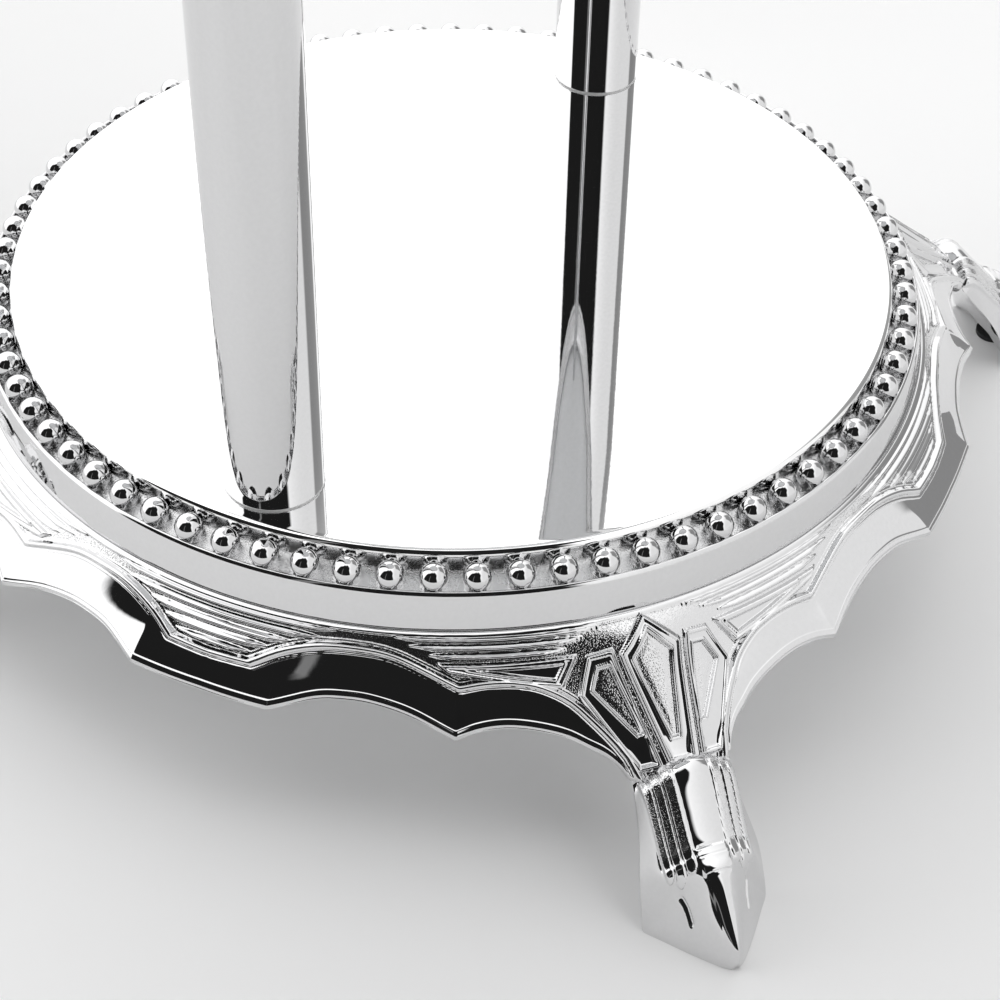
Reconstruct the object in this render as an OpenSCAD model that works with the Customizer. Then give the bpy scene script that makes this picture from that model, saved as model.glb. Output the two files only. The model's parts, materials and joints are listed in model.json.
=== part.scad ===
// Two-tier cake stand: a footed cast base and an upper tray, each with a mirror
// disc inside a beaded rim, joined by two chromed posts.
// Millimetres, +Z up. Origin: centre of the stand, on the floor. The posts stand
// on the X axis and the four feet point along the diagonals.

/* [Tiers] */
// Height of the lower mirror above the floor
base_h = 97; // [90:1:105]
// Radius of the flat mirror face on both tiers
mirror_r = 152.5; // [150:0.5:156]
// Thickness of the mirror disc
mirror_t = 1.2; // [1:0.1:1.5]
// Thickness of the steel plate under each mirror
plate_t = 3; // [2.5:0.1:3]

/* [Posts] */
// Outer radius of the post tubes
post_r = 16; // [12:0.5:18]
// Wall of the post tubes
post_wall = 1.5; // [1:0.1:2.5]
// Length of the post tubes
post_len = 330; // [200:5:400]
// Distance of each post from the centre
post_x = 132.6; // [125:0.1:134]
// Radius of the M8 bolts and studs
thread_r = 4; // [3:0.5:4]
// Height of the plugs in the ends of the tubes
plug_h = 24; // [18:1:30]

/* [Rim] */
// Number of beads round each rim
bead_count = 75; // [45:1:75]
// Radius of one bead
bead_r = 4.6; // [3.5:0.1:4.6]

/* [Skirt and feet] */
// Radius of the skirt at its lowest points
skirt_r = 191; // [188:0.5:193]
// Radius reached by the toes
toe_r = 254; // [250:0.2:258]
// Radius of a foot pad
pad_r = 7; // [5:0.5:8]

/* [Finials] */
// Radius of the finials
finial_r = 12; // [10:0.5:13]
// Height of the finials
finial_h = 17; // [15:0.5:20]

/* [Hidden] */
$fn = 96;
run_gap = 0.05;      // running clearance on the radius
screw_gap = 0.2;     // clearance of a screw in its hole
gasket_t = 0.6;      // clear washer between a post and a tier
roll_r = 2;          // rolled edge of a mirror disc
mirror_out = mirror_r + roll_r - 0.1;  // outside of the mirror's turned-down wall
mirror_drop = 8.7;   // depth of that wall below the mirror face
channel_in = mirror_out - mirror_t;    // inner edge of the bead channel
channel_z = -8.8;    // floor of the bead channel
bead_ring_r = mirror_out + run_gap + bead_r;
bead_z = -6.4;       // centre of a bead
ridge_r = bead_ring_r + bead_r + 0.55; // thin ridge outside the beads
groove_r = ridge_r + 4.2;              // groove below the smooth band
groove_z = -19.9;
ledge_in = 146;      // inner edge of the ledge that carries the plate
ledge_z = -(mirror_t + plate_t);
under_z = -12.2;     // underside of the ledge and the channel
screw_ring_r = 149;  // circle of the plate screws
screw_r = 2;
washer_r = 11;
washer_t = 1.6;
stud_top = 12;       // stud standing above the upper mirror
stud_in_plug = 20;
tray_z = base_h + gasket_t + post_len; // underside of the upper plate
tray_h = tray_z + gasket_t + plate_t + mirror_t;
finial_z = tray_h + gasket_t;
pad_t = 1.8;
pad_at = 235;        // pads sit this far out along each foot
foot_clear = 0.8;    // metal of the feet stays this far off the floor
cusp_a = 19.8;       // cusps of the skirt, measured from a foot
cusp_b = 37.7;
edge_z = -44.2;      // lowest points of the skirt

// Places children at the left (-1) or right (+1) post
module at_post(side) translate([side * post_x, 0, 0]) children();

// Ring with a round hole, standing on z = 0
module ring(outer, inner, height) difference() {
    cylinder(r = outer, h = height);
    translate([0, 0, -1]) cylinder(r = inner, h = height + 2);
}

// Upper contour of a rim, from its inner ledge out to the groove
rim_top = [[ledge_in, under_z], [ledge_in, ledge_z], [channel_in - run_gap, ledge_z],
    [channel_in - run_gap, channel_z], [ridge_r - 0.9, channel_z], [ridge_r - 0.5, -8.3],
    [ridge_r, -8.1], [ridge_r + 0.5, -8.4], [ridge_r + 0.9, -9.4], [ridge_r + 1.2, -12.4],
    [ridge_r + 2, -16.2], [ridge_r + 3.2, -18.9], [groove_r, groove_z]];

// Skirt of the base below the groove, down the outside and back up the inside
skirt_line = [[groove_r - 0.3, -20.5], [groove_r + 0.6, -21.1], [173.5, -27], [179, -34],
    [184.2, -38.9], [skirt_r, edge_z], [skirt_r - 2.6, edge_z], [182, -40.6], [176, -35.6],
    [169.8, -28], [165.2, -21.6], [162.6, under_z]];

// Short turned-in wall of the tray below the groove
tray_line = [[groove_r, -21.3], [groove_r - 1, -22.1], [groove_r - 2.4, -22.1],
    [groove_r - 3.2, -20.9], [165, -20.1], [162.6, under_z]];

module beads() for (i = [0 : bead_count - 1])
    rotate([0, 0, (i + 0.25) * 360 / bead_count]) translate([bead_ring_r, 0, bead_z])
        sphere(r = bead_r);

// Four screw holes through the ledge
module ledge_holes() for (i = [0 : 3])
    rotate([0, 0, 45 + 90 * i]) translate([screw_ring_r, 0, under_z - 1])
        cylinder(r = screw_r + screw_gap, h = -under_z + 2);

// One arc cut from the skirt's lower edge: centre angle, half width in degrees,
// height of its top and depth at its ends
module scallop(angle, half, top_z, depth) {
    chord = skirt_r * sin(half);
    cut_r = (chord * chord + depth * depth) / (2 * depth);
    rotate([0, 0, angle]) translate([skirt_r - 22, 0, top_z - cut_r])
        rotate([0, 90, 0]) cylinder(r = cut_r, h = 40);
}

// The arcs of the skirt on both sides of one foot
module scallops() for (i = [0 : 3]) {
    mid = (cusp_a + cusp_b) / 2;
    for (s = [-1, 1])
        scallop(45 + 90 * i + s * mid, (cusp_b - cusp_a) / 2, -37.2, 6.4);
    scallop(90 * i, 45 - cusp_b, -42, 0.6);
}

// Side outline of a foot in radius and height
foot_side = [[162, 62], [166, 71.5], [178.5, 62], [189, 53.8], [199, 45.5], [204, 47], [210.6, 49.5],
    [218, 41.5], [226.7, 32.4], [235.4, 28.1], [244, 19.5], [252, 10], [toe_r, 7.5],
    [252.3, foot_clear], [228.5, foot_clear], [224.5, 4], [216, 14], [205, 26], [194, 36],
    [182, 45], [171, 51]];

// Half outline of a foot seen from above in radius and half width
foot_plan = [[162, 18], [172, 24], [184, 33], [191, 32], [196, 26], [200, 20.5], [205, 16.3],
    [211, 15.2], [220, 18.5], [229, 21], [239, 13.5], [249.5, 4.3], [toe_r, 0]];

module foot() intersection() {
    translate([0, 40, 0]) rotate([90, 0, 0]) linear_extrude(height = 80) polygon(foot_side);
    linear_extrude(height = base_h)
        polygon(concat(foot_plan, [for (i = [len(foot_plan) - 1 : -1 : 0])
            [foot_plan[i][0], -foot_plan[i][1]]]));
}

module at_foot(i) rotate([0, 0, 45 + 90 * i]) children();

module base_casting() color("silver") difference() {
    union() {
        translate([0, 0, base_h]) {
            difference() {
                rotate_extrude() polygon(concat(rim_top, skirt_line));
                scallops();
            }
            beads();
        }
        for (i = [0 : 3]) at_foot(i) foot();
    }
    translate([0, 0, base_h]) ledge_holes();
    for (i = [0 : 3]) at_foot(i) translate([pad_at, 0, 0])
        cylinder(r = pad_r + run_gap, h = pad_t);
}

module tray_casting() color("silver") translate([0, 0, tray_h]) difference() {
    union() {
        rotate_extrude() polygon(concat(rim_top, tray_line));
        beads();
    }
    ledge_holes();
    // the ledge is cut away round each post
    for (side = [-1, 1]) at_post(side) translate([0, 0, under_z - 1])
        cylinder(r = post_r + 0.6, h = -under_z);
}

// Polished disc whose edge rolls over and turns down, with a hole for each post
module mirror_disc() difference() {
    rotate_extrude() difference() {
        union() {
            translate([0, -mirror_drop]) square([mirror_out - roll_r, mirror_drop]);
            translate([0, -mirror_drop]) square([mirror_out, mirror_drop - roll_r]);
            translate([mirror_out - roll_r, -roll_r]) intersection() {
                circle(r = roll_r);
                square(roll_r);
            }
        }
        translate([0, -mirror_drop - 1])
            square([mirror_out - mirror_t, mirror_drop + 1 - mirror_t]);
    }
    for (side = [-1, 1]) at_post(side) translate([0, 0, -mirror_t - 1])
        cylinder(r = thread_r + screw_gap, h = mirror_t + 2);
}

module base_mirror() color("white") translate([0, 0, base_h]) mirror_disc();
module tray_mirror() color("white") translate([0, 0, tray_h]) mirror_disc();

// Steel plate under a mirror, with post holes and tapped holes for its screws
module support_plate() difference() {
    cylinder(r = channel_in - 1, h = plate_t);
    for (side = [-1, 1]) at_post(side) translate([0, 0, -1])
        cylinder(r = thread_r + screw_gap, h = plate_t + 2);
    for (i = [0 : 3]) rotate([0, 0, 45 + 90 * i]) translate([screw_ring_r, 0, -1])
        cylinder(r = screw_r + run_gap, h = plate_t);
}

module base_support_plate() color("dimgray")
    translate([0, 0, base_h + ledge_z]) support_plate();
module tray_support_plate() color("dimgray")
    translate([0, 0, tray_h + ledge_z]) support_plate();

// The four pan-head screws that hold a plate down on its ledge
module plate_screws() for (i = [0 : 3])
    rotate([0, 0, 45 + 90 * i]) translate([screw_ring_r, 0, 0]) {
        translate([0, 0, under_z]) cylinder(r = screw_r, h = ledge_z - under_z + plate_t - 1.2);
        translate([0, 0, under_z - 1.6]) cylinder(r = screw_r + 1, h = 1.6);
    }

module base_plate_screws() color("gray") translate([0, 0, base_h]) plate_screws();
module tray_plate_screws() color("gray") translate([0, 0, tray_h]) plate_screws();

module foot_pad(i) color("black") at_foot(i) translate([pad_at, 0, 0])
    cylinder(r = pad_r, h = pad_t);

// Bolt up through the base plate and mirror into the foot of a post
module post_bolt(side) color("gray") at_post(side) {
    head_z = base_h + ledge_z - washer_t;
    translate([0, 0, head_z - 5.3]) cylinder(r = 7.5, h = 5.3, $fn = 6);
    translate([0, 0, head_z]) cylinder(r = thread_r, h = washer_t + plate_t + mirror_t + 18);
}

module bolt_washer(side) color("lightgray") at_post(side)
    translate([0, 0, base_h + ledge_z - washer_t])
        ring(washer_r, thread_r + screw_gap, washer_t);

module post_gasket(side) color("white") at_post(side) translate([0, 0, base_h])
    ring(post_r - 0.3, thread_r + screw_gap, gasket_t);

module post_tube(side) color("silver") at_post(side) translate([0, 0, base_h + gasket_t])
    ring(post_r, post_r - post_wall, post_len);

module post_bottom_plug(side) color("gray") at_post(side)
    translate([0, 0, base_h + gasket_t])
        ring(post_r - post_wall, thread_r + run_gap, plug_h);

module post_top_plug(side) color("gray") at_post(side)
    translate([0, 0, tray_z - plug_h]) ring(post_r - post_wall, thread_r, plug_h);

module post_stud(side) color("gray") at_post(side)
    translate([0, 0, tray_z - stud_in_plug])
        cylinder(r = thread_r, h = stud_in_plug + tray_h - tray_z + stud_top);

module tray_washer(side) color("white") at_post(side) translate([0, 0, tray_z])
    ring(post_r - 0.3, thread_r + screw_gap, gasket_t);

module finial_gasket(side) color("white") at_post(side) translate([0, 0, tray_h])
    ring(finial_r - 1.5, thread_r + screw_gap, gasket_t);

// Domed knob on a waisted neck, bored from below for its threaded insert
module finial_knob(side) color("silver") at_post(side) translate([0, 0, finial_z])
    difference() {
        rotate_extrude() difference() {
            union() {
                square([finial_r - 1, 2.2]);
                square([finial_r - 3.6, finial_h - 4]);
                intersection() {
                    translate([0, finial_h - finial_r]) circle(r = finial_r);
                    translate([0, 5.4]) square([finial_r, finial_h]);
                }
            }
            translate([finial_r - 1.2, 3.9]) circle(r = 2.4);
        }
        translate([0, 0, -1]) cylinder(r = 6, h = stud_top + 2.5);
    }

module finial_insert(side) color("gold") at_post(side) translate([0, 0, finial_z])
    ring(6 - run_gap, thread_r + run_gap, stud_top + 1);

base_casting();
base_mirror();
base_support_plate();
base_plate_screws();
foot_pad(0);  // foot_pad_1
foot_pad(1);  // foot_pad_2
foot_pad(2);  // foot_pad_3
foot_pad(3);  // foot_pad_4
post_bolt(-1);  // post_bolt_left
post_bolt(1);  // post_bolt_right
bolt_washer(-1);  // bolt_washer_left
bolt_washer(1);  // bolt_washer_right
post_gasket(-1);  // post_gasket_left
post_gasket(1);  // post_gasket_right
post_tube(-1);  // post_tube_left
post_tube(1);  // post_tube_right
post_bottom_plug(-1);  // post_bottom_plug_left
post_bottom_plug(1);  // post_bottom_plug_right
post_top_plug(-1);  // post_top_plug_left
post_top_plug(1);  // post_top_plug_right
post_stud(-1);  // post_stud_left
post_stud(1);  // post_stud_right
tray_casting();
tray_mirror();
tray_support_plate();
tray_plate_screws();
tray_washer(-1);  // tray_washer_left
tray_washer(1);  // tray_washer_right
finial_knob(-1);  // finial_knob_left
finial_knob(1);  // finial_knob_right
finial_insert(-1);  // finial_insert_left
finial_insert(1);  // finial_insert_right
finial_gasket(-1);  // finial_gasket_left
finial_gasket(1);  // finial_gasket_right
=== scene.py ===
# Two-tier cake stand: chromed casting with a beaded rim, scalloped skirt and four feet,
# mirror discs, posts and a matching upper tray, in a pale studio.
# Lengths in metres in Blender; the shapes below are worked out in millimetres.
import json
import math
import bmesh
import bpy
import numpy as np
from mathutils import Matrix, Vector


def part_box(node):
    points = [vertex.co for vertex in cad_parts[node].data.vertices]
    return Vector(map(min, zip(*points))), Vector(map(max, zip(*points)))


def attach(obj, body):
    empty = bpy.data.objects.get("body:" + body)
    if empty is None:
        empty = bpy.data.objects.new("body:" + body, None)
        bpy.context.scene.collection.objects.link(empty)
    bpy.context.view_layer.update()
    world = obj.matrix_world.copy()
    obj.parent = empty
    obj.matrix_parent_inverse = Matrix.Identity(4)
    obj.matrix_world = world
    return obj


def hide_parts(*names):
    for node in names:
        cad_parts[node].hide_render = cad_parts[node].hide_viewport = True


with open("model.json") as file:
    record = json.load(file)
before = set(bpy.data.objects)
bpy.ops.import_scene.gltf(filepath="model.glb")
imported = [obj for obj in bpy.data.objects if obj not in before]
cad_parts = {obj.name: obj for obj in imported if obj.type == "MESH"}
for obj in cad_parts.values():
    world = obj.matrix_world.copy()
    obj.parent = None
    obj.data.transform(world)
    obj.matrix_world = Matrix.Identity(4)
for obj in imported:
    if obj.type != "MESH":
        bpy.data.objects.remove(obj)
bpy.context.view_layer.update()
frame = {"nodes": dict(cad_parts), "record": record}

MM = 0.001
BASE_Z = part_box("base_mirror")[1].z / MM      # lower mirror's face above the floor
TRAY_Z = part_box("tray_mirror")[1].z / MM      # upper mirror's face
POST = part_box("post_tube_right")
POST_X = (POST[0].x + POST[1].x) / 2 / MM
POST_R = (POST[1].x - POST[0].x) / 2 / MM
FEET = [45, 135, 225, 315]                    # ground angles of the feet, in degrees
SIDES = {"left": -1, "right": 1}


# ---------------------------------------------------------------- curves and fields

def smooth_path(knots, t):
    """Cubic through the knots' rows (first column is the parameter), evaluated at t."""
    k = np.array(knots, float)
    x, y = k[:, 0], k[:, 1:]
    slope = np.diff(y, axis=0) / np.diff(x)[:, None]
    tangent = np.vstack([slope[:1], (slope[1:] + slope[:-1]) / 2, slope[-1:]])
    t = np.asarray(t, float)
    i = np.clip(np.searchsorted(x, t) - 1, 0, len(x) - 2)
    w = (x[i + 1] - x[i])[..., None]
    u = ((t - x[i]) / (x[i + 1] - x[i]))[..., None]
    inside = ((2 * u**3 - 3 * u**2 + 1) * y[i] + (u**3 - 2 * u**2 + u) * w * tangent[i]
              + (3 * u**2 - 2 * u**3) * y[i + 1] + (u**3 - u**2) * w * tangent[i + 1])
    before = y[0] + (t - x[0])[..., None] * tangent[0]
    after = y[-1] + (t - x[-1])[..., None] * tangent[-1]
    return np.where((t < x[0])[..., None], before, np.where((t > x[-1])[..., None], after, inside))


def step(x, lo, hi):
    """0 below lo, 1 above hi, smooth between; lo may be above hi."""
    u = np.clip((x - lo) / (hi - lo), 0, 1)
    return u * u * (3 - 2 * u)


def to_line(x, y, line):
    """Distance of points to an open polyline of (x, y) points."""
    best = np.full(np.broadcast(x, y).shape, 1e9)
    for (ax, ay), (bx, by) in zip(line[:-1], line[1:]):
        dx, dy = bx - ax, by - ay
        u = np.clip(((x - ax) * dx + (y - ay) * dy) / max(dx * dx + dy * dy, 1e-12), 0, 1)
        best = np.minimum(best, np.hypot(x - ax - u * dx, y - ay - u * dy))
    return best


def inside_depth(x, y, corners):
    """Signed distance to a closed polygon's edge, positive inside."""
    ring = list(corners) + [corners[0]]
    distance = to_line(x, y, ring)
    odd = np.zeros(distance.shape, bool)
    for (ax, ay), (bx, by) in zip(ring[:-1], ring[1:]):
        if ay != by:
            odd ^= ((ay > y) != (by > y)) & (x < (bx - ax) * (y - ay) / (by - ay) + ax)
    return np.where(odd, distance, -distance)


# ---------------------------------------------------------------- meshes

def mesh_from(name, verts, faces, stipple=None):
    """A smooth-shaded object from points in millimetres, with a per-point stipple mask."""
    mesh = bpy.data.meshes.new(name)
    verts = np.asarray(verts, float) * MM
    mesh.from_pydata(verts.tolist(), [], [tuple(map(int, f)) for f in faces])
    mesh.polygons.foreach_set("use_smooth", [True] * len(mesh.polygons))
    layer = mesh.attributes.new("stipple", "FLOAT", "POINT")
    layer.data.foreach_set("value", np.zeros(len(verts)) if stipple is None else stipple)
    mesh.update()
    obj = bpy.data.objects.new(name, mesh)
    bpy.context.scene.collection.objects.link(obj)
    return obj


def grid_faces(rows, cols, wrap=False):
    """Faces of a rows x cols grid of points, outside up when columns run anticlockwise."""
    i, j = np.meshgrid(np.arange(rows - 1), np.arange(cols if wrap else cols - 1), indexing="ij")
    k = (j + 1) % cols
    return np.stack([i * cols + j, (i + 1) * cols + j, (i + 1) * cols + k, i * cols + k], -1).reshape(-1, 4)


def lathe(name, profile, at=(0, 0, 0), segments=360, stipple=None, closed=True):
    """Turns a profile of (radius, height) about a vertical axis."""
    p = np.array(profile, float)
    if closed:
        p = np.vstack([p, p[:1]])
    a = np.arange(segments) * 2 * math.pi / segments
    verts = np.stack([p[:, :1] * np.cos(a), p[:, :1] * np.sin(a), np.repeat(p[:, 1:], segments, 1)], -1)
    mask = None
    if stipple is not None:
        mask = np.repeat([stipple(r, z) for r, z in p], segments)
    obj = mesh_from(name, verts.reshape(-1, 3) + np.array(at), grid_faces(len(p), segments, True), mask)
    weld(obj)
    return obj


def weld(obj, distance=1e-6):
    """Joins points that coincide and turns the faces outward."""
    bm = bmesh.new()
    bm.from_mesh(obj.data)
    bmesh.ops.remove_doubles(bm, verts=bm.verts, dist=distance)
    bmesh.ops.dissolve_degenerate(bm, dist=distance / 2, edges=bm.edges)
    bmesh.ops.recalc_face_normals(bm, faces=bm.faces)
    bm.to_mesh(obj.data)
    bm.free()


def arc(cx, cz, radius, start, end, count):
    """Points (x, z) of an arc, angles in degrees."""
    return [(cx + radius * math.cos(math.radians(a)), cz + radius * math.sin(math.radians(a)))
            for a in np.linspace(start, end, count)]


# ---------------------------------------------------------------- the casting's rim

MIRROR_R, MIRROR_OUT = 152.5, 154.4
CHANNEL_Z, RIDGE_R, GROOVE_R, GROOVE_Z = -8.8, 164.15, 167.0, -21.2
UNDER_Z, LEDGE_IN, LEDGE_Z = -12.2, 146, -4.2
BEADS, BEAD_R, BEAD_RING, BEAD_MID = 75, 4.6, 159.05, -6.0


def rim_profile(tail):
    """Rim from its inner ledge over the channel, the ridge and the flat band to the groove."""
    inner = 153.15
    top = [(LEDGE_IN, LEDGE_Z), (inner - 0.3, LEDGE_Z), (inner, LEDGE_Z - 0.3)]
    channel = [(inner, CHANNEL_Z + 2.4), (inner + 0.2, CHANNEL_Z + 1.9), (inner + 0.6, CHANNEL_Z + 1.6)]
    channel += [(r, CHANNEL_Z + 1.5 - 0.23 * (r - inner - 1)) for r in np.linspace(inner + 1.2, 162.3, 10)]
    ridge = [(162.7, CHANNEL_Z - 0.35), (163.0, CHANNEL_Z), (163.15, CHANNEL_Z + 0.35)]
    ridge += arc(163.75, CHANNEL_Z + 0.5, 0.62, 170, 48, 7) + [(164.62, -8.45), (164.84, -8.95)]
    band = [(RIDGE_R + 0.75 + 1.95 * u + 0.06 * math.sin(u * math.pi), -9.35 - 11.0 * u)
            for u in np.linspace(0, 1, 14)]
    band += [(GROOVE_R - 0.1, GROOVE_Z + 0.45), (GROOVE_R - 0.25, GROOVE_Z + 0.1),
             (GROOVE_R - 0.6, GROOVE_Z - 0.25)]
    return top + channel + ridge + band + tail


def rim_stipple(r, z):
    return 2.0 if 153.5 < r < 162.9 and z < CHANNEL_Z + 1.7 else 0.0


def rim(name, z, tail):
    return lathe(name, rim_profile(tail), (0, 0, z), 720, rim_stipple)


def beads(name, z):
    """The ring of domes, each rising from a shallow crease."""
    low = CHANNEL_Z - BEAD_MID
    dome = arc(0, 0, BEAD_R, 90, -18, 22)
    p = np.array(dome + [(BEAD_R * 0.94, low + 0.35), (BEAD_R * 0.95, low - 0.6)])
    segments = 48
    a = np.arange(segments) * 2 * math.pi / segments
    one = np.stack([p[:, :1] * np.cos(a), p[:, :1] * np.sin(a), np.repeat(p[:, 1:], segments, 1)], -1)
    one = one.reshape(-1, 3)
    face = grid_faces(len(p), segments, True)
    verts, faces = [], []
    for i in range(BEADS):
        turn = math.radians((i + 0.25) * 360 / BEADS)
        c, s = math.cos(turn), math.sin(turn)
        x, y = one[:, 0] + BEAD_RING, one[:, 1]
        verts.append(np.stack([c * x - s * y, s * x + c * y, one[:, 2] + z + BEAD_MID], -1))
        faces.append(face + i * len(one))
    obj = mesh_from(name, np.vstack(verts), np.vstack(faces))
    weld(obj)
    return obj


# ---------------------------------------------------------------- the skirt

# Outer surface below the groove: s, radius, height under the mirror. s is the
# coordinate down the skirt, 0 at the groove, about 2 at the cusps, 3.5 at an ankle.
SKIRT = [(-0.06, 166.6, -21.4), (0, 167.2, -21.3), (0.12, 168.9, -22.2), (1, 179.0, -34.0),
         (2, 189.3, -42.8), (3, 199.6, -51.0), (3.6, 205.8, -56.0)]
ANKLE_S = 3.5
CUSPS = (19.8, 37.7)                  # degrees from a foot
# Lower edge as (degrees from a foot, s): foot to cusp, cusp to cusp, middle
EDGE = [[(0, ANKLE_S), (4.65, ANKLE_S), (5.3, 3.2), (6.2, 2.9), (7.6, 2.62), (9.3, 2.32),
         (12.4, 2.03), (15.3, 1.92), (17.9, 1.99), (19.8, 2.16)],
        [(19.8, 2.16), (24.1, 1.63), (27.8, 1.40), (30.3, 1.37), (33.3, 1.46), (37.7, 1.93)],
        [(37.7, 1.93), (45, 1.90)]]
# Raised border, the same way
BORDER = [[(3.9, 3.6), (4.4, 3.12), (5.7, 2.47), (7.1, 1.96), (8.6, 1.50), (11.2, 1.10),
           (14.0, 0.94), (16.8, 0.92), (19.45, 0.99)],
          [(19.45, 0.99), (22.4, 0.72), (26.3, 0.46), (30.0, 0.40), (34.1, 0.46), (38.0, 0.70), (40.6, 1.0)],
          [(40.6, 1.0), (45, 1.03)]]
COLUMNS, ROWS, WALL = (150, 235), 112, 2.4   # columns near a foot and beyond it; wall in mm


def down(s):
    """Distance down the skirt in mm at s."""
    fine = np.linspace(-0.06, 3.8, 800)
    rz = smooth_path(SKIRT, fine)
    length = np.concatenate([[0], np.cumsum(np.hypot(*np.diff(rz, axis=0).T))])
    return np.interp(s, fine, length) - np.interp(0, fine, length)


def edge_s(a, pieces):
    """Value of a piecewise curve of (angle, s) at angles a, cusps kept sharp."""
    out = np.full(np.shape(a), pieces[0][0][1], float)
    for knots in pieces:
        lo, hi = knots[0][0], knots[-1][0]
        here = (a >= lo) & (a <= hi + 1e-6)
        out[here] = smooth_path(knots, a[here])[:, 0]
    return out


def flat(points):
    """(degrees, s) corners in the unrolled plane of the skirt, in mm."""
    return [(math.radians(a) * float(smooth_path(SKIRT, np.array(s))[0]), float(down(s))) for a, s in points]


def dense(pieces, count=24):
    """A border's pieces as one list of close points, in (degrees, s)."""
    out = []
    for knots in pieces:
        a = np.linspace(knots[0][0], knots[-1][0], count)
        out += list(zip(a, smooth_path(knots, a)[:, 0]))
    return out


# Ribs as (start degrees, s, end degrees, s, half width in mm), and the closed frames
RIBS = [(4.5, 0.15, 26.4, 0.13, 0.95), (6.6, 0.30, 24.6, 0.28, 0.95), (8.3, 0.45, 22.6, 0.43, 0.95),
        (32.0, 0.13, 58.0, 0.13, 0.95), (33.8, 0.30, 56.2, 0.30, 0.95), (36.6, 0.47, 53.4, 0.47, 0.95),
        (38.8, 0.64, 51.2, 0.64, 0.95), (40.6, 0.81, 49.4, 0.81, 0.85)]
WEDGE_OUT = [(7.6, 0.58), (21.6, 0.57), (20.6, 0.72), (9.3, 1.13)]
WEDGE_IN = [(8.9, 0.68), (18.6, 0.655), (9.9, 0.97)]
KITE_OUT = [(0, 0.12), (3.25, 0.67), (1.2, 3.36), (-1.2, 3.36), (-3.25, 0.67)]
KITE_IN = [(0, 0.36), (2.15, 0.79), (0.42, 2.78), (-0.42, 2.78), (-2.15, 0.79)]
SIDE_OUT = [(6.6, 0.62), (3.95, 0.58), (1.85, 3.36), (3.95, 3.36), (7.9, 1.38)]
SIDE_IN = [(5.75, 0.84), (4.45, 0.81), (2.75, 2.55), (3.3, 2.55), (6.6, 1.30)]
# Each frame: outline, inner outline, height of its top, and whether it is a kite,
# which has a stippled floor and a shallow pit at its tip
FRAMES = [(WEDGE_OUT, WEDGE_IN, 0.2, False), (KITE_OUT, KITE_IN, 0.45, True), (SIDE_OUT, SIDE_IN, 0.35, True)]


def rib_height(x, y, rib):
    """Height and smooth surround of a rib that leans upward: broad upper face, short lower one."""
    a0, s0, a1, s1, half = rib
    (x0, y0), (x1, y1) = flat([(a0, s0), (a1, s1)])
    along = np.clip((x - x0) / (x1 - x0), 0, 1)
    end = np.clip(np.minimum(x - x0, x1 - x) / 8.0, 0, 1)**0.7
    across = y - y0 - (y1 - y0) * along
    w = np.maximum(half * end, 0.02)
    u = across / w
    shape = np.clip((u + 1) / 1.75, 0, 1) - 1.6 * np.clip(u - 0.55, 0, 1)**2
    top = -0.5 + (1.25 * shape - 0.25 * (u * 0.6)**2) * end
    ends = (x > x0) & (x < x1)
    inside = ends & (np.abs(u) < 1.35)
    return np.where(inside, top, -9.0), np.where(ends, step(np.abs(across), w + 0.55, w + 0.2), 0.0)


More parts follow.
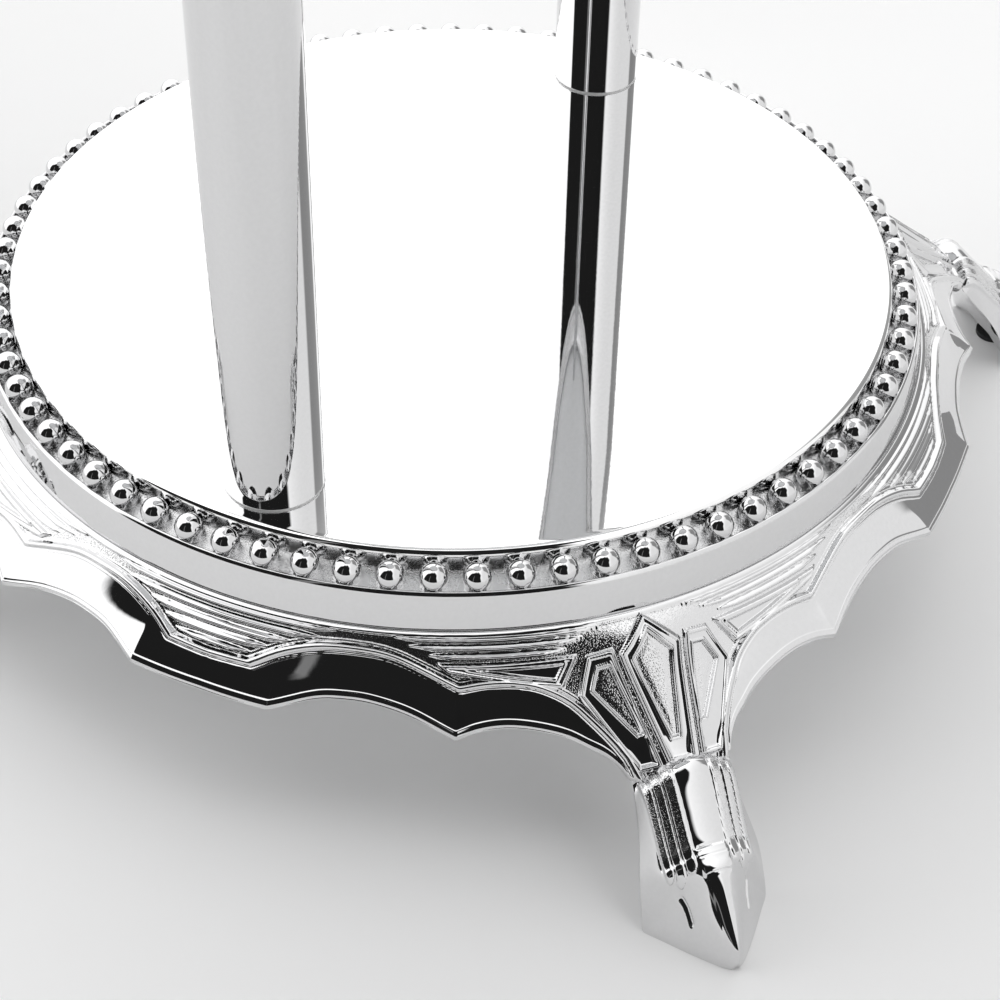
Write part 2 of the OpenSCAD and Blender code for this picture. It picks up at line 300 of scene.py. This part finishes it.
def skirt_relief(a, s):
    """Height in mm over the plain skirt and the stipple mask, for degrees from a foot and s."""
    r = smooth_path(SKIRT, s)[..., 0]
    x, y = np.radians(a) * r, down(s)
    to_border = to_line(x, y, flat(dense(BORDER)))
    border_at = edge_s(np.clip(a, 3.9, 45), BORDER)
    above = s < np.where(a < 3.9, 9.0, border_at)
    field = step(to_border, 1.2, 2.0) * above * step(s, 0.085, 0.13)  # the sunk stippled field
    height = -0.75 * field
    mask = field.copy()
    # border: a broad bright bead, a finer line above it and another below
    height = np.maximum(height, 1.1 - 1.15 * (to_border / 1.2)**2)
    inner = np.where(above, to_border, 99)
    height = np.maximum(height, -0.2 - 1.8 * np.abs(inner - 2.2))
    mask = mask * step(np.abs(inner - 2.2), 0.2, 0.4)
    height = np.maximum(height, np.where(above, -9, 0.3 - 1.2 * np.abs(to_border - 1.95)))
    # ribs
    for rib in RIBS:
        top, smooth = rib_height(x, y, rib)
        height = np.maximum(height, top)
        mask = mask * (1 - smooth)
    # closed frames: two crests with a smooth channel between, round a recessed floor
    for outer, inner_ring, top, kite in FRAMES:
        out_d = inside_depth(x, y, flat(outer))
        in_d = inside_depth(x, y, flat(inner_ring))
        crests = 0.6 * np.exp(-((out_d - 0.7) / 0.46)**2) + 0.6 * np.exp(-((in_d + 0.3) / 0.38)**2)
        frame_h = -0.75 + (0.75 + top) * step(out_d, -0.45, 0.45) + crests
        floor_h = -0.55 + 0.12 * step(in_d, 1.2, 3.0)
        inside = step(in_d, 0.05, 0.75)
        top_h = frame_h * (1 - inside) + floor_h * inside
        height = np.where(out_d > -0.45, np.maximum(height, top_h), height)
        height = np.where(in_d > 0.05, top_h, height)
        mask = np.where(out_d > -0.2, inside * step(in_d, 0.55, 0.9) * kite, mask)
        pit = step(out_d, 0.7, 2.4) * step(s, 2.65, 3.1) * kite
        height = height * (1 - pit) - 0.35 * pit
    mask = mask * (1 - step(s, 2.9, 3.1) * step(np.abs(a), 4.0, 3.6))
    # the leg is crowned across its middle
    height = height + 3.0 * np.exp(-(x / 19.0)**2) * step(s, 0.02, 0.6)
    # smooth lower band: pleats that meet in creases at the cusps, and a fine line along the edge
    band = 1 - np.clip(above + step(to_border, 0.9, 0.2), 0, 1)
    edge = edge_s(np.clip(a, 0, 45), EDGE)
    span = np.clip((s - border_at) / np.maximum(edge - border_at, 0.05), 0, 1)
    for cusp in CUSPS:
        height = height + band * 0.95 * np.exp(-np.abs(a - cusp) / 1.8) * step(span, 0.0, 0.6)
    height = height + band * 0.25 * np.sin(span * math.pi)
    rest = down(edge) - y
    height = height + band * 0.2 * np.exp(-((rest - 2.5) / 0.32)**2) * step(span, 0.4, 0.7)
    return height, np.clip(mask, 0, 1)


def skirt_section(name, angle):
    """A quarter of the skirt, centred on one foot."""
    a = np.concatenate([np.linspace(0, 9, COLUMNS[0])[:-1], np.linspace(9, 45, COLUMNS[1])])
    edge = edge_s(a, EDGE)
    u = np.linspace(0, 1, ROWS)[:, None]
    s = -0.06 + (edge + 0.06) * u
    aa = np.broadcast_to(a, s.shape)
    height, mask = skirt_relief(aa, s)
    base = smooth_path(SKIRT, s)
    ahead = smooth_path(SKIRT, s + 0.01) - base
    ahead /= np.linalg.norm(ahead, axis=-1, keepdims=True)
    normal = np.stack([-ahead[..., 1], ahead[..., 0]], -1)
    rest = (down(edge) - down(s))
    height = height * step(rest, 0.0, 0.9) - 0.55 * step(rest, 1.15, 0.25)
    height = height * step(s, -0.05, 0.0)
    outer = base + normal * height[..., None]
    rows = [outer]
    for depth, back in ((0.75, 0.05), (1.4, 0.1), (2.0, 0.35), (WALL, 0.7)):
        rows.append((base[-1] - normal[-1] * depth - ahead[-1] * back * 0.8)[None])
    for w in np.linspace(0.9, 0.0, 12):
        q = smooth_path(SKIRT, edge * w)
        qa = smooth_path(SKIRT, edge * w + 0.01) - q
        qa /= np.linalg.norm(qa, axis=-1, keepdims=True)
        rows.append((q - np.stack([-qa[..., 1], qa[..., 0]], -1) * WALL)[None])
    rz = np.concatenate(rows)
    n = rz.shape[0]
    full_mask = np.zeros((n, len(a)))
    full_mask[:ROWS] = mask * step(rest, 0.3, 1.2)
    ang = np.radians(angle) + np.radians(np.concatenate([-a[:0:-1], a]))
    rz = np.concatenate([rz[:, :0:-1], rz], 1)
    full_mask = np.concatenate([full_mask[:, :0:-1], full_mask], 1)
    verts = np.stack([rz[..., 0] * np.cos(ang), rz[..., 0] * np.sin(ang), rz[..., 1] + BASE_Z], -1)
    return mesh_from(name, verts.reshape(-1, 3), grid_faces(n, len(ang)), full_mask.ravel())


# ---------------------------------------------------------------- the feet

# Stations down a foot: top line (radius, height), then its lower edge (radius, half
# width, height), heights under the mirror
STATIONS = [((197.0, -57.0), (201.5, 15.6, -55.6)), ((201.5, -53.0), (203.4, 16.3, -55.0)),
            ((205.3, -48.9), (205.6, 16.4, -57.8)), ((209.3, -47.7), (208.5, 16.7, -61.6)),
            ((213.6, -50.4), (211.5, 17.2, -65.5)), ((220.0, -57.4), (216.5, 18.4, -71.2)),
            ((226.7, -64.6), (222.0, 20.2, -79.5)), ((231.0, -66.9), (226.2, 20.9, -88.5)),
            ((235.4, -69.0), (229.4, 21.0, -97.0)), ((241.5, -75.6), (234.8, 16.8, -97.0)),
            ((247.2, -82.0), (242.2, 10.9, -97.0)), ((251.8, -87.4), (249.4, 4.6, -97.0)),
            ((253.4, -92.0), (252.0, 1.4, -97.0))]


def hinge(v, at, soft):
    """0 at v = 0, then a slope of 1 beyond a soft bend."""
    return soft * (np.logaddexp(0, (v - at) / soft) - np.logaddexp(0, -at / soft))


def along_foot(t, knots):
    """One value for each station t of a foot, as a column."""
    return smooth_path(knots, t)[:, 0][:, None]


def foot(name, angle):
    """Shin, facet and toe of one foot, from under the kites to the floor."""
    rows_n, half_n = 190, 74
    t = np.linspace(0, len(STATIONS) - 1, rows_n)
    knots = [(i, a[0], a[1], b[0], b[1], b[2]) for i, (a, b) in enumerate(STATIONS)]
    p = smooth_path(knots, t)
    tx, tz, ex, ew, ez = (p[:, i][:, None] for i in range(5))
    ez = np.maximum(ez, 0.05 - BASE_Z)
    q = np.linspace(0, 1, half_n)[None]
    # across: flat shin, shoulder, then a sheet that flares to the edge
    shin = along_foot(t, [(0, 6.0), (2, 5.8), (4, 5.6), (6, 5.2), (7.8, 5.0), (8.6, 3.6), (10, 2.9),
                          (12, 0.9)])
    tt = t[:, None]
    v = ew * q
    drop = np.maximum(np.hypot(tx - ex, tz - ez), 0.5)
    crown = np.minimum(along_foot(t, [(0, 2.0), (2, 1.8), (4, 0.7), (6, 0.5), (12, 0.4)]), drop / 3)
    bend = along_foot(t, [(0, 0.9), (3, 0.4), (7, 0.4), (8.6, 1.3), (10, 1.4), (12, 0.6)])
    first, first_end = hinge(v, shin, bend), hinge(ew, shin, bend)
    second, second_end = hinge(v, shin + 9.4, 0.7), hinge(ew, shin + 9.4, 0.7)
    whole = (drop - crown) / first_end
    slope = np.minimum(0.66 + (whole - 0.66) * step(tt, 6.7, 8.1), whole)
    fall = (crown * np.minimum(v / shin, 1)**2 + slope * first
            + np.maximum(drop - crown - slope * first_end, 0) / np.maximum(second_end, 1e-6) * second) / drop
    x = tx + (ex - tx) * fall
    z = tz + (ez - tz) * fall
    # relief along the flanks
    d = v - shin
    relief = np.zeros(v.shape)
    mask = np.zeros(v.shape)
    run = step(tt, 1.6, 2.2)
    for lo, hi, stop in ((0.7, 3.4, 7.5), (4.1, 6.5, 7.75), (7.1, 9.1, 7.3)):
        mid, half = (lo + hi) / 2, (hi - lo) / 2
        half = half * np.sqrt(np.clip((stop - tt) / 0.3, 0, 1))
        strip = step(np.abs(d - mid), half + 0.3, half - 0.2) * run * (half > 0)
        relief += 0.75 * strip
        mask = np.maximum(mask, strip * step(tt, 6.7, 5.6))
    relief -= 0.7 * step(np.abs(d - 6.4), 0.6, 0.2) * step(tt, 7.8, 8.1) * step(tt, 9.3, 9.1)
    relief += 0.35 * step(np.abs(d - 0.35), 0.45, 0.1) * run * step(tt, 6.6, 6.2)
    # facet plate between shin and toe
    plate = step(tt, 6.15, 6.35) * step(tt, 8.1, 7.85) * step(v, shin + 0.3, shin - 0.7)
    relief += 0.3 * plate
    cut = (step(np.abs(tt - 6.2), 0.1, 0.02) + step(np.abs(tt - 6.85), 0.07, 0.02) * 0.5
           + step(np.abs(tt - 8.0), 0.1, 0.02)) * step(v, shin - 0.4, shin - 1.4)
    relief -= 0.3 * cut
    # displaced along the section's own normal
    pos = np.stack([x, v + 0 * x, z], -1)
    gt, gq = np.gradient(pos, axis=0), np.gradient(pos, axis=1)
    n = np.cross(gt, gq)
    n /= np.maximum(np.linalg.norm(n, axis=-1, keepdims=True), 1e-9)
    n *= np.sign(n[..., 2:3] + 1e-9)
    n[:, 0, 1] = 0
    rest = (1 - q) * ew
    relief = relief * step(rest, 0.4, 1.6)
    pos = pos + n * relief[..., None]
    # underside: back to the middle, hollowed
    inner = []
    for w, lift in ((0.93, 0.6), (0.7, 3.0), (0.35, 5.0), (0.0, 5.6)):
        lifted = np.minimum(lift, np.maximum(0, (tz - ez) * 0.35)) * step(tt, 12, 9.5)
        level = np.maximum(ez + lifted, 0.05 - BASE_Z)
        inner.append(np.concatenate([ex - (1 - w) * 1.5, ew * w, level], -1)[:, None])
    half = np.concatenate([pos] + inner, 1)
    mask = np.concatenate([mask * step(rest, 0.4, 1.6), np.zeros((rows_n, 4))], 1)
    other = half[:, ::-1] * np.array([1, -1, 1])
    ring = np.concatenate([half, other[:, 1:-1]], 1)          # both halves share the middle points
    ring_mask = np.concatenate([mask, mask[:, ::-1][:, 1:-1]], 1)
    cols = ring.shape[1]
    verts = ring.reshape(-1, 3)
    faces = grid_faces(rows_n, cols, True).tolist()
    caps = [list(range(cols))[::-1], [(rows_n - 1) * cols + i for i in range(cols)]]
    c, s = math.cos(math.radians(angle)), math.sin(math.radians(angle))
    x, y = verts[:, 0], verts[:, 1]
    verts = np.stack([c * x - s * y, s * x + c * y, verts[:, 2] + BASE_Z], -1)
    obj = mesh_from(name, verts, faces + caps, ring_mask.ravel())
    weld(obj, 1e-5)
    return obj


# ---------------------------------------------------------------- materials

def new_material(name):
    mat = bpy.data.materials.new(name)
    mat.use_nodes = True
    mat.node_tree.nodes.clear()
    return mat, Graph(mat.node_tree)


class Graph:
    """Short calls for building a node tree."""

    def __init__(self, tree):
        self.tree = tree

    def node(self, kind, inputs=(), **settings):
        n = self.tree.nodes.new(kind)
        for key, value in settings.items():
            setattr(n, key, value)
        for key, value in dict(inputs).items():
            if isinstance(value, bpy.types.NodeSocket):
                self.tree.links.new(value, n.inputs[key])
            else:
                n.inputs[key].default_value = value
        return n

    def math(self, op, a, b=0.0, clamp=False):
        return self.node("ShaderNodeMath", {0: a, 1: b}, operation=op, use_clamp=clamp).outputs[0]

    def ramp(self, value, lo, hi, out_lo=0.0, out_hi=1.0):
        return self.node("ShaderNodeMapRange", {"Value": value, "From Min": lo, "From Max": hi,
                         "To Min": out_lo, "To Max": out_hi}, interpolation_type="SMOOTHSTEP").outputs[0]

    def grey(self, level):
        return self.node("ShaderNodeCombineColor", {"Red": level, "Green": level, "Blue": level}).outputs[0]


def chrome(name, color, roughness=0.035, stippled=False, wave=0.02, scratch=0.004):
    """Plated metal: faint waviness and hairlines, and a matte stipple where the mask says."""
    mat, g = new_material(name)
    where = g.node("ShaderNodeTexCoord").outputs["Object"]
    wavy = g.node("ShaderNodeTexNoise", {"Vector": where, "Scale": 90.0, "Detail": 2.0}).outputs["Fac"]
    fine = g.node("ShaderNodeTexNoise", {"Vector": where, "Scale": 700.0, "Detail": 3.0}).outputs["Fac"]
    bump = g.node("ShaderNodeBump", {"Strength": wave, "Distance": 0.001, "Height": wavy}).outputs[0]
    bump = g.node("ShaderNodeBump", {"Strength": scratch, "Distance": 0.0004, "Height": fine,
                  "Normal": bump}).outputs[0]
    rough = g.ramp(wavy, 0.3, 0.7, roughness * 0.7, roughness * 1.4)
    tone = g.ramp(fine, 0.2, 0.8, 0.97, 1.0)
    base = g.node("ShaderNodeMix", {"Factor": 1.0, 6: (*color, 1), 7: (1, 1, 1, 1)},
                  data_type="RGBA", blend_type="MULTIPLY")
    g.tree.links.new(g.grey(tone), base.inputs[7])
    if stippled:
        mask = g.node("ShaderNodeAttribute", attribute_name="stipple").outputs["Fac"]
        cell = g.node("ShaderNodeTexVoronoi", {"Vector": where, "Scale": 1900.0,
                      "Randomness": 1.0}).outputs["Distance"]
        rag = g.node("ShaderNodeTexNoise", {"Vector": where, "Scale": 1300.0, "Detail": 3.0}).outputs["Fac"]
        mix = g.math("ADD", g.ramp(cell, 0.5, 0.1), g.math("MULTIPLY", rag, 0.9))
        rougher = g.math("SUBTRACT", mask, 1.0, clamp=True)          # the bead channel is rougher still
        strength = g.math("MULTIPLY", g.math("MINIMUM", mask, 1.0), 0.2)
        bump = g.node("ShaderNodeBump", {"Strength": strength, "Distance": 0.0004, "Height": mix,
                      "Normal": bump}).outputs[0]
        rough = g.math("ADD", rough, g.math("MULTIPLY", g.math("MINIMUM", mask, 1.0), 0.08))
        rough = g.math("ADD", rough, g.math("MULTIPLY", rougher, 0.16))
    shader = g.node("ShaderNodeBsdfPrincipled", {"Base Color": base.outputs[2], "Metallic": 1.0,
                    "Roughness": rough, "Normal": bump})
    g.node("ShaderNodeOutputMaterial", {"Surface": shader.outputs[0]})
    return mat


def plain(name, color, dark, roughness, metallic=0.0, scale=300.0, bump=0.15):
    """A lightly mottled finish for small parts."""
    mat, g = new_material(name)
    where = g.node("ShaderNodeTexCoord").outputs["Object"]
    spots = g.node("ShaderNodeTexNoise", {"Vector": where, "Scale": scale, "Detail": 4.0}).outputs["Fac"]
    tint = g.node("ShaderNodeValToRGB", {"Fac": spots})
    tint.color_ramp.elements[0].position, tint.color_ramp.elements[0].color = 0.3, (*dark, 1)
    tint.color_ramp.elements[1].position, tint.color_ramp.elements[1].color = 0.7, (*color, 1)
    relief = g.node("ShaderNodeBump", {"Strength": bump, "Distance": 0.0002, "Height": spots}).outputs[0]
    shader = g.node("ShaderNodeBsdfPrincipled", {"Base Color": tint.outputs[0], "Metallic": metallic,
                    "Roughness": g.ramp(spots, 0.3, 0.7, roughness * 0.8, roughness * 1.2),
                    "Normal": relief})
    g.node("ShaderNodeOutputMaterial", {"Surface": shader.outputs[0]})
    return mat


MATERIALS = {
    "casting_chrome": chrome("casting_chrome", (0.73, 0.73, 0.735), 0.03, stippled=True),
    "mirror_disc": chrome("mirror_disc", (0.97, 0.97, 0.97), 0.015, wave=0.002, scratch=0.002),
    "post_chrome": chrome("post_chrome", (0.71, 0.71, 0.715), 0.02, wave=0.004, scratch=0.003),
    "finial_chrome": chrome("finial_chrome", (0.71, 0.71, 0.715), 0.03, wave=0.006),
    "support_plate": plain("support_plate", (0.86, 0.87, 0.88), (0.80, 0.81, 0.82), 0.5),
    "fastener_steel": plain("fastener_steel", (0.72, 0.72, 0.70), (0.60, 0.60, 0.58), 0.28, 1.0, 500.0),
    "plug_steel": plain("plug_steel", (0.62, 0.62, 0.61), (0.52, 0.52, 0.51), 0.32, 1.0, 500.0),
    "insert_brass": plain("insert_brass", (0.83, 0.64, 0.30), (0.72, 0.54, 0.24), 0.3, 1.0, 500.0),
    "gasket": plain("gasket", (0.9, 0.9, 0.9), (0.84, 0.84, 0.84), 0.25, 0.0, 400.0),
    "foot_pad": plain("foot_pad", (0.035, 0.035, 0.035), (0.02, 0.02, 0.02), 0.75, 0.0, 900.0, 0.4),
}


def place(obj, body, slot, *nodes):
    """Puts a piece on its body, in the place of its CAD nodes."""
    obj.data.materials.clear()
    obj.data.materials.append(MATERIALS[slot])
    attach(obj, body)
    if nodes:
        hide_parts(*nodes)
    return obj


# ---------------------------------------------------------------- the parts

def mirror_disc(name, z, body, node):
    """Polished disc with a rolled edge and a turned-down wall."""
    t = 1.2
    top = [(0.0, 0.0), (60, 0), (120, 0), (151.0, 0), (152.3, -0.02)]
    roll = arc(MIRROR_OUT - 2, -2, 2, 88, 0, 10)
    inner = MIRROR_OUT - t
    wall = [(MIRROR_OUT, -5), (MIRROR_OUT, -8.4), (MIRROR_OUT - 0.3, -8.7), (inner, -8.7), (inner, -3)]
    under = [(inner - 0.8, -t), (100, -t), (0, -t)]
    obj = lathe(name, top + roll + wall + under, (0, 0, z), 720, closed=False)
    place(obj, body, "mirror_disc", node)


def build():
    rim_tail = [(165.2, -22.4), (163.0, -18.5), (162.6, UNDER_Z), (LEDGE_IN, UNDER_Z)]
    tray_tail = [(165.6, -22.2), (164.6, -22.2), (163.8, -21.0), (163.2, -19.5), (162.6, UNDER_Z),
                 (LEDGE_IN, UNDER_Z)]
    place(rim("base_rim", BASE_Z, rim_tail), "base", "casting_chrome", "base_casting")
    place(beads("base_beads", BASE_Z), "base", "casting_chrome", "base_casting")
    for i, angle in enumerate(FEET, 1):
        place(skirt_section(f"base_skirt_{i}", angle), "base", "casting_chrome", "base_casting")
        place(foot(f"base_foot_{i}", angle), "base", "casting_chrome", "base_casting")
    place(rim("tray_rim", TRAY_Z, tray_tail), "tray", "casting_chrome", "tray_casting")
    place(beads("tray_beads", TRAY_Z), "tray", "casting_chrome", "tray_casting")
    mirror_disc("base_mirror_face", BASE_Z, "base", "base_mirror")
    mirror_disc("tray_mirror_face", TRAY_Z, "tray", "tray_mirror")
    lo, hi = POST[0].z / MM, POST[1].z / MM
    tube = [(POST_R - 1.5, lo), (POST_R - 0.15, lo), (POST_R, lo + 0.15), (POST_R, lo + 0.3),
            (POST_R, lo + 1), (POST_R, hi - 1), (POST_R, hi - 0.3), (POST_R, hi - 0.15),
            (POST_R - 0.15, hi), (POST_R - 1.5, hi)]
    for side, sign in SIDES.items():
        post = lathe(f"post_{side}", tube, (sign * POST_X, 0, 0), 256)
        place(post, f"{side}_post", "post_chrome", f"post_tube_{side}")
    replaced = {"base_casting", "tray_casting", "base_mirror", "tray_mirror",
                "post_tube_left", "post_tube_right"}
    for part in frame["record"]["subparts"]:
        if part["node"] not in replaced:
            node = frame["nodes"][part["node"]]
            node.data.materials.clear()
            node.data.materials.append(MATERIALS[part["material_slot"]])


build()


# ---------------------------------------------------------------- camera

EL, DIST, FOCAL = 35.77, 822.1, 83.45        # degrees, mm, lens mm on a 36 mm sensor
PITCH, YAW, ROLL = 6.07, -1.58, -1.14        # how it is turned from looking at the centre
CAMERA_AT = -155.14                          # ground angle of the camera


def camera():
    turn = math.radians(CAMERA_AT + 90)
    el, aim = math.radians(EL), math.radians(EL + PITCH)
    yaw, roll = math.radians(YAW), math.radians(ROLL)
    spot = Vector((0, -math.cos(el), math.sin(el))) * DIST
    back = Vector((0, -math.cos(aim), math.sin(aim)))
    back.rotate(Matrix.Rotation(yaw, 3, "Z"))
    right = Vector((math.cos(yaw), math.sin(yaw), 0))
    up = back.cross(right)
    right, up = (right * math.cos(roll) - up * math.sin(roll), right * math.sin(roll) + up * math.cos(roll))
    axes = Matrix((right, up, back)).transposed()
    world = Matrix.Rotation(turn, 3, "Z")
    data = bpy.data.cameras.new("camera")
    data.lens, data.sensor_width = FOCAL, 36
    data.clip_start, data.clip_end = 0.05, 20
    obj = bpy.data.objects.new("camera", data)
    at = (world @ spot + Vector((0, 0, BASE_Z))) * MM
    obj.matrix_world = Matrix.Translation(at) @ (world @ axes).to_4x4()
    bpy.context.scene.collection.objects.link(obj)
    bpy.context.scene.camera = obj


camera()


# ---------------------------------------------------------------- studio

def studio():
    """Pale floor with a faint painted glow as fill light, and a white tent with a dark opening on the
    camera's side.
    """
    n, reach = 60, 6000
    side = np.linspace(-reach, reach, n)
    x, y = np.meshgrid(side, side, indexing="ij")
    floor = mesh_from("floor", np.stack([x, y, np.zeros_like(x)], -1).reshape(-1, 3), grid_faces(n, n))
    mat, g = new_material("floor_paper_painted_fill")
    flat_place = g.node("ShaderNodeTexCoord").outputs["Object"]
    spots = g.node("ShaderNodeTexNoise", {"Vector": flat_place, "Scale": 3.0}).outputs["Fac"]
    tone = g.ramp(spots, 0.3, 0.7, 0.84, 0.86)
    # painted fill light: the floor glows faintly white, which lifts the shade under the skirt
    shader = g.node("ShaderNodeBsdfPrincipled", {"Base Color": g.grey(tone), "Roughness": 0.8,
                    "Specular IOR Level": 0.2, "Emission Color": (1, 1, 1, 1), "Emission Strength": 0.09})
    g.node("ShaderNodeOutputMaterial", {"Surface": shader.outputs[0]})
    floor.data.materials.append(mat)
    world = bpy.data.worlds.new("studio")
    bpy.context.scene.world = world
    world.use_nodes = True
    world.node_tree.nodes.clear()
    g = Graph(world.node_tree)
    ray = g.node("ShaderNodeTexCoord").outputs["Generated"]
    front = math.radians(CAMERA_AT)
    turned = g.node("ShaderNodeVectorRotate", {"Vector": ray, "Angle": -front},
                    rotation_type="Z_AXIS").outputs[0]
    xyz = g.node("ShaderNodeSeparateXYZ", {0: turned}).outputs
    azimuth = g.math("MULTIPLY", g.math("ARCTAN2", xyz[1], xyz[0]), 180 / math.pi)    # + is the right
    height = g.math("MULTIPLY", g.math("ARCSINE", xyz[2]), 180 / math.pi)
    # the dark opening: its left and right edges lean with the height, in degrees
    left_edge = g.ramp(height, 45, 75, -74.5, -45)
    right_edge = g.ramp(height, 30, 54, 27, 42)
    left = g.ramp(g.math("SUBTRACT", azimuth, left_edge), -1.5, 1.5)
    right = g.ramp(g.math("SUBTRACT", azimuth, right_edge), 3, -3)
    low = g.ramp(height, -8, -4)
    high = g.ramp(height, 82, 70)
    dark = g.math("MULTIPLY", g.math("MULTIPLY", left, right), g.math("MULTIPLY", low, high))
    # a paler strip in the opening
    streak = g.math("MULTIPLY", g.ramp(azimuth, -34.5, -32.5), g.ramp(azimuth, -28.5, -30.5))
    streak = g.math("MULTIPLY", streak, g.ramp(height, 50, 42))
    dark = g.math("MULTIPLY", dark, g.math("SUBTRACT", 1.0, g.math("MULTIPLY", streak, 0.15)))
    # the tent is dimmer on the right, with a grey panel behind it there
    rightness = g.ramp(xyz[1], 0.05, 0.8)
    tent = g.math("SUBTRACT", 1.55, g.math("MULTIPLY", rightness, 0.55))
    panel = g.math("MULTIPLY", g.ramp(azimuth, 102, 109), g.ramp(azimuth, 148, 142))
    panel = g.math("MULTIPLY", panel, g.math("MULTIPLY", low, g.ramp(height, 52, 40)))
    tent = g.math("MULTIPLY", tent, g.math("SUBTRACT", 1.0, g.math("MULTIPLY", panel, 0.68)))
    level = g.math("MULTIPLY", tent, g.math("SUBTRACT", 1.0, g.math("MULTIPLY", dark, 0.99)))
    sky = g.node("ShaderNodeBackground", {"Color": g.grey(level), "Strength": 1.0}).outputs[0]
    g.node("ShaderNodeOutputWorld", {"Surface": sky})


studio()
bpy.context.scene.view_settings.view_transform = "Standard"
